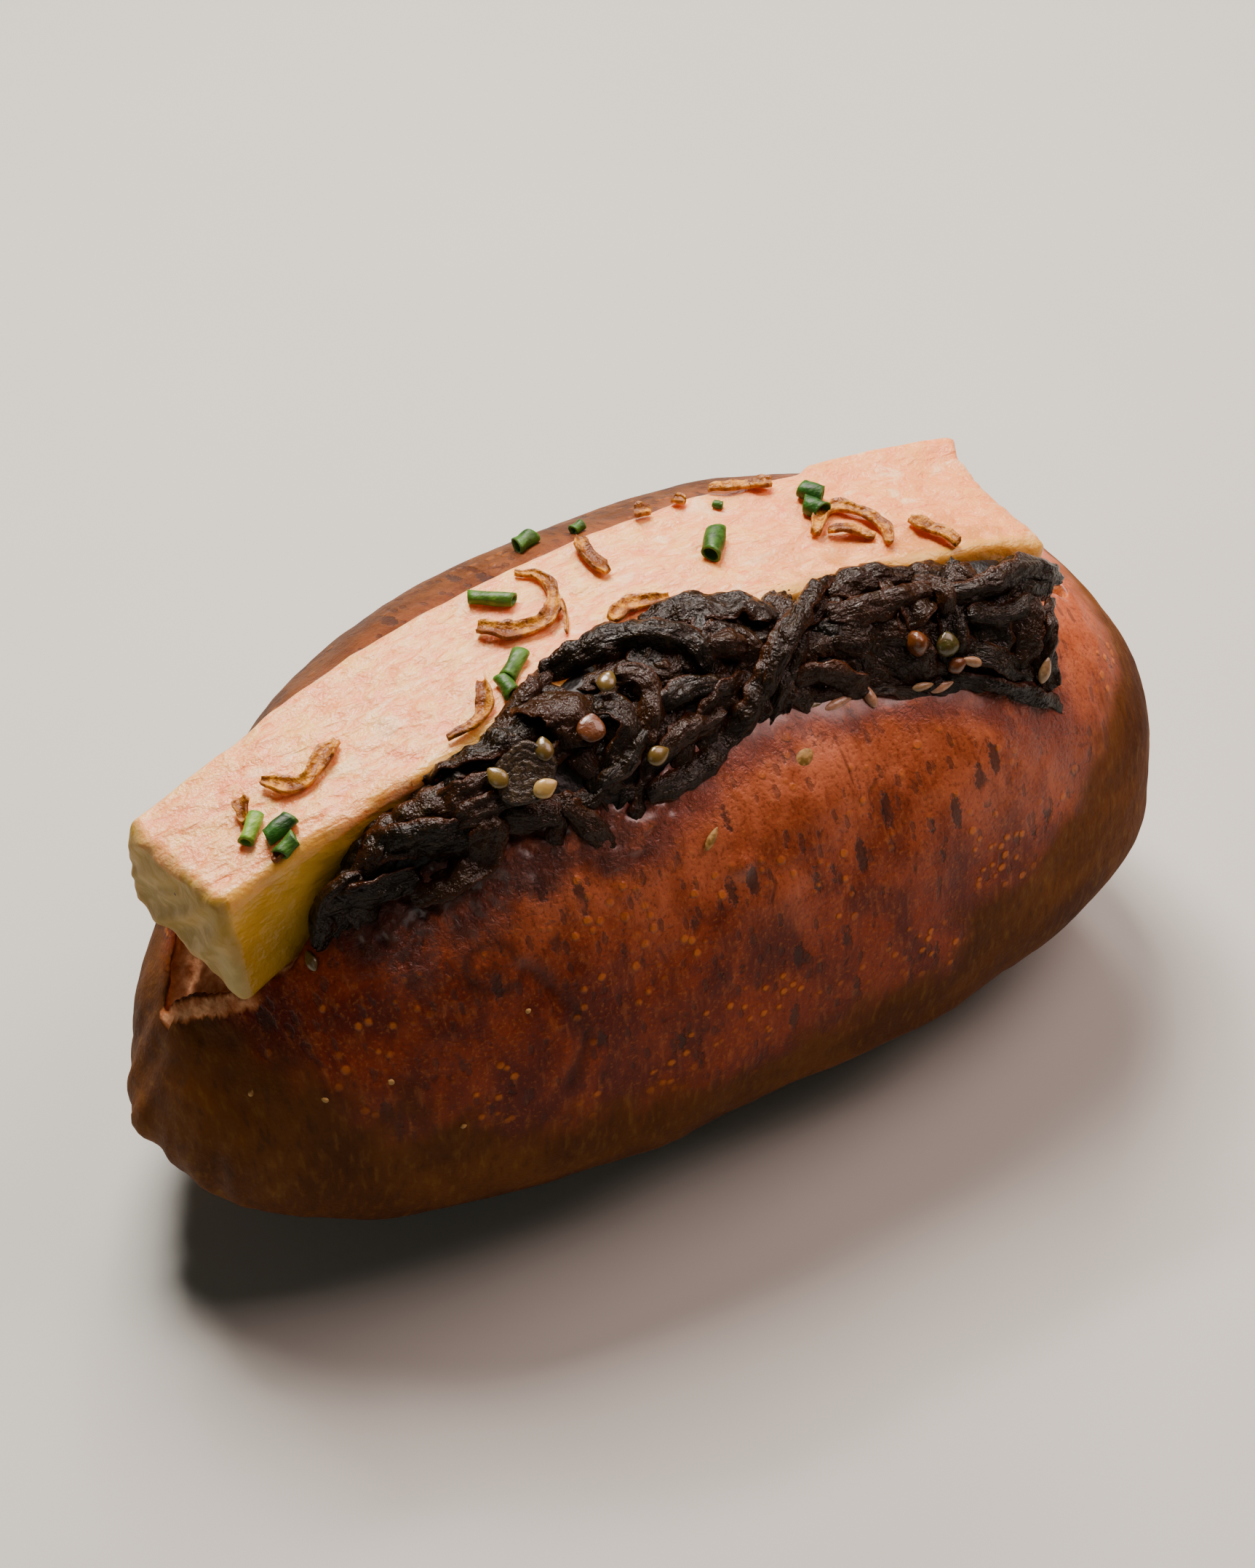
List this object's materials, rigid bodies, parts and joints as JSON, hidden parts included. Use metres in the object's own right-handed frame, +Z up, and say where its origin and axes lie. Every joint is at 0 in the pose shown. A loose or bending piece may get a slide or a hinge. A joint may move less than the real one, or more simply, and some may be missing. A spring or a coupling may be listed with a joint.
{
  "type": "filled split-top roll",
  "caption": "Plump glazed roll split along the top, filled with a pale bar of shrimp cake and a heap of dark shredded relish, scattered with fried shallot and cut chives",
  "frame": {"origin": "on the table, under the middle of the bounding box", "axes": "+X along the roll, from its open left end to its right end; -Y towards the front lip, over which the relish hangs; +Z up"},
  "size_m": [0.1366, 0.0714, 0.0695],
  "materials": {
    "bun": "glossy egg-washed crust, stands in for bread",
    "shrimp_bar": "moist pale shrimp paste with a yellowish skin",
    "relish": "wet dark braised shreds"
  },
  "bodies": {
    "root": {"bun": "bun", "shrimp_bar": "shrimp_bar", "relish": "relish"}
  },
  "joints": []
}
